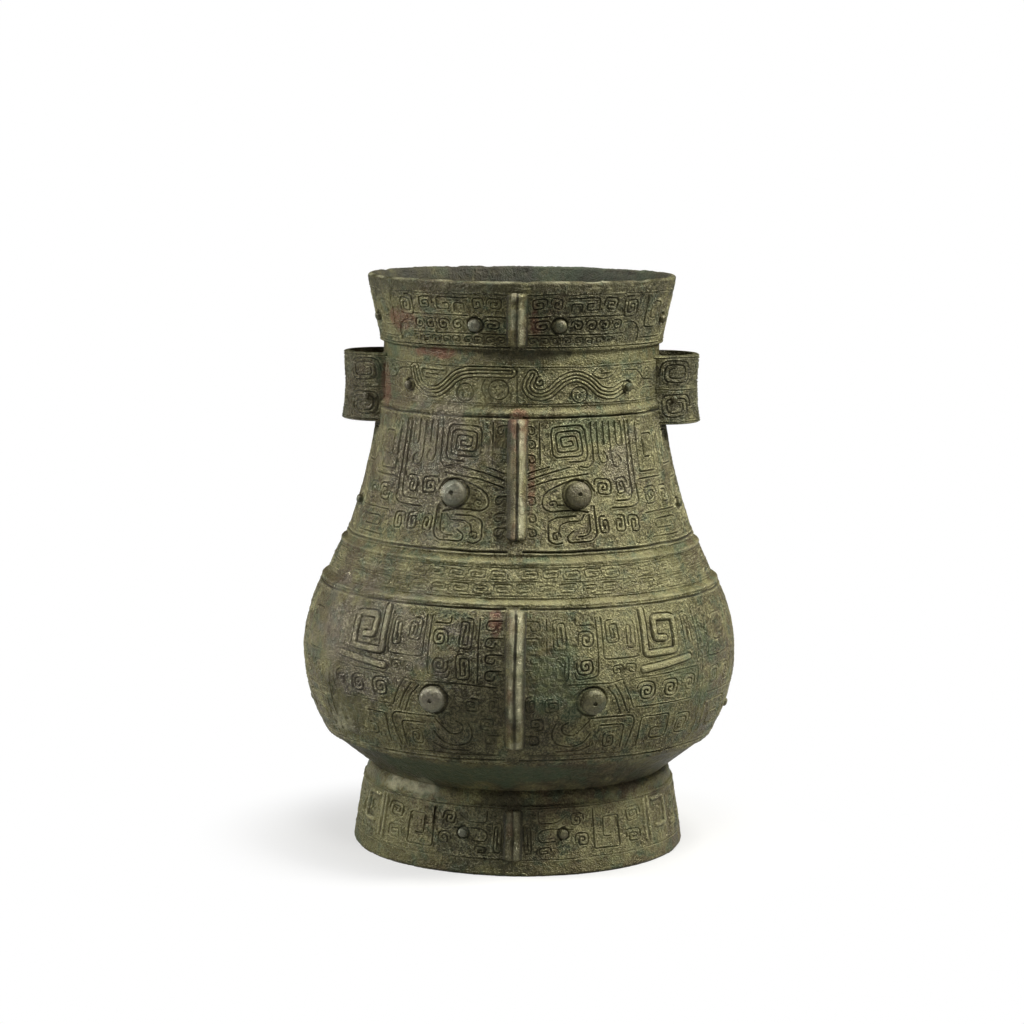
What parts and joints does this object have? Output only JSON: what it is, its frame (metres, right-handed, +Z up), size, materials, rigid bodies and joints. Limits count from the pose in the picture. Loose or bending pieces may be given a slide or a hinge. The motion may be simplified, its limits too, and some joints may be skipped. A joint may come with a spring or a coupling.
{
  "type": "bronze hu vessel",
  "caption": "Oval bronze wine vessel with a swelling belly, waisted neck and flared foot, tubular side lugs for a carrying cord, vertical flanges and raised eye bosses.",
  "frame": {"origin": "centre of the oval foot, on the surface that the vessel rests on", "axes": "+Z up along the vessel's axis, -Y towards the pictured front, +X towards the right-hand lug"},
  "size_m": [0.2414, 0.201, 0.32],
  "materials": {
    "wall_bronze": "cast bronze under a dark olive patina with malachite and cuprite patches",
    "relief_bronze": "cast bronze under a dark olive patina, rubbed lighter on the crests"
  },
  "bodies": {
    "root": {"belly_eye_back_left": "relief_bronze", "belly_eye_back_right": "relief_bronze", "belly_eye_front_left": "relief_bronze", "belly_eye_front_right": "relief_bronze", "belly_flange_back": "relief_bronze", "belly_flange_front": "relief_bronze", "belly_side_boss_left": "relief_bronze", "belly_side_boss_right": "relief_bronze", "belly_wall": "wall_bronze", "bowl_floor": "wall_bronze", "collar_wall": "wall_bronze", "dragon_eye_back_left": "relief_bronze", "dragon_eye_back_right": "relief_bronze", "dragon_eye_front_left": "relief_bronze", "dragon_eye_front_right": "relief_bronze", "foot_eye_back_left": "relief_bronze", "foot_eye_back_right": "relief_bronze", "foot_eye_front_left": "relief_bronze", "foot_eye_front_right": "relief_bronze", "foot_flange_back": "relief_bronze", "foot_flange_front": "relief_bronze", "foot_ring": "wall_bronze", "lug_left": "wall_bronze", "lug_right": "wall_bronze", "lug_stud_back_left": "relief_bronze", "lug_stud_back_right": "relief_bronze", "lug_stud_front_left": "relief_bronze", "lug_stud_front_right": "relief_bronze", "mouth_eye_back_left": "relief_bronze", "mouth_eye_back_right": "relief_bronze", "mouth_eye_front_left": "relief_bronze", "mouth_eye_front_right": "relief_bronze", "mouth_flange_back": "relief_bronze", "mouth_flange_front": "relief_bronze", "mouth_side_boss_back_left": "relief_bronze", "mouth_side_boss_back_right": "relief_bronze", "mouth_side_boss_front_left": "relief_bronze", "mouth_side_boss_front_right": "relief_bronze", "mouth_wall": "wall_bronze", "neck_eye_back_left": "relief_bronze", "neck_eye_back_right": "relief_bronze", "neck_eye_front_left": "relief_bronze", "neck_eye_front_right": "relief_bronze", "neck_flange_back": "relief_bronze", "neck_flange_front": "relief_bronze", "neck_side_boss_back_left": "relief_bronze", "neck_side_boss_back_right": "relief_bronze", "neck_side_boss_front_left": "relief_bronze", "neck_side_boss_front_right": "relief_bronze", "neck_wall": "wall_bronze", "shoulder_wall": "wall_bronze", "underside_wall": "wall_bronze"}
  },
  "joints": []
}
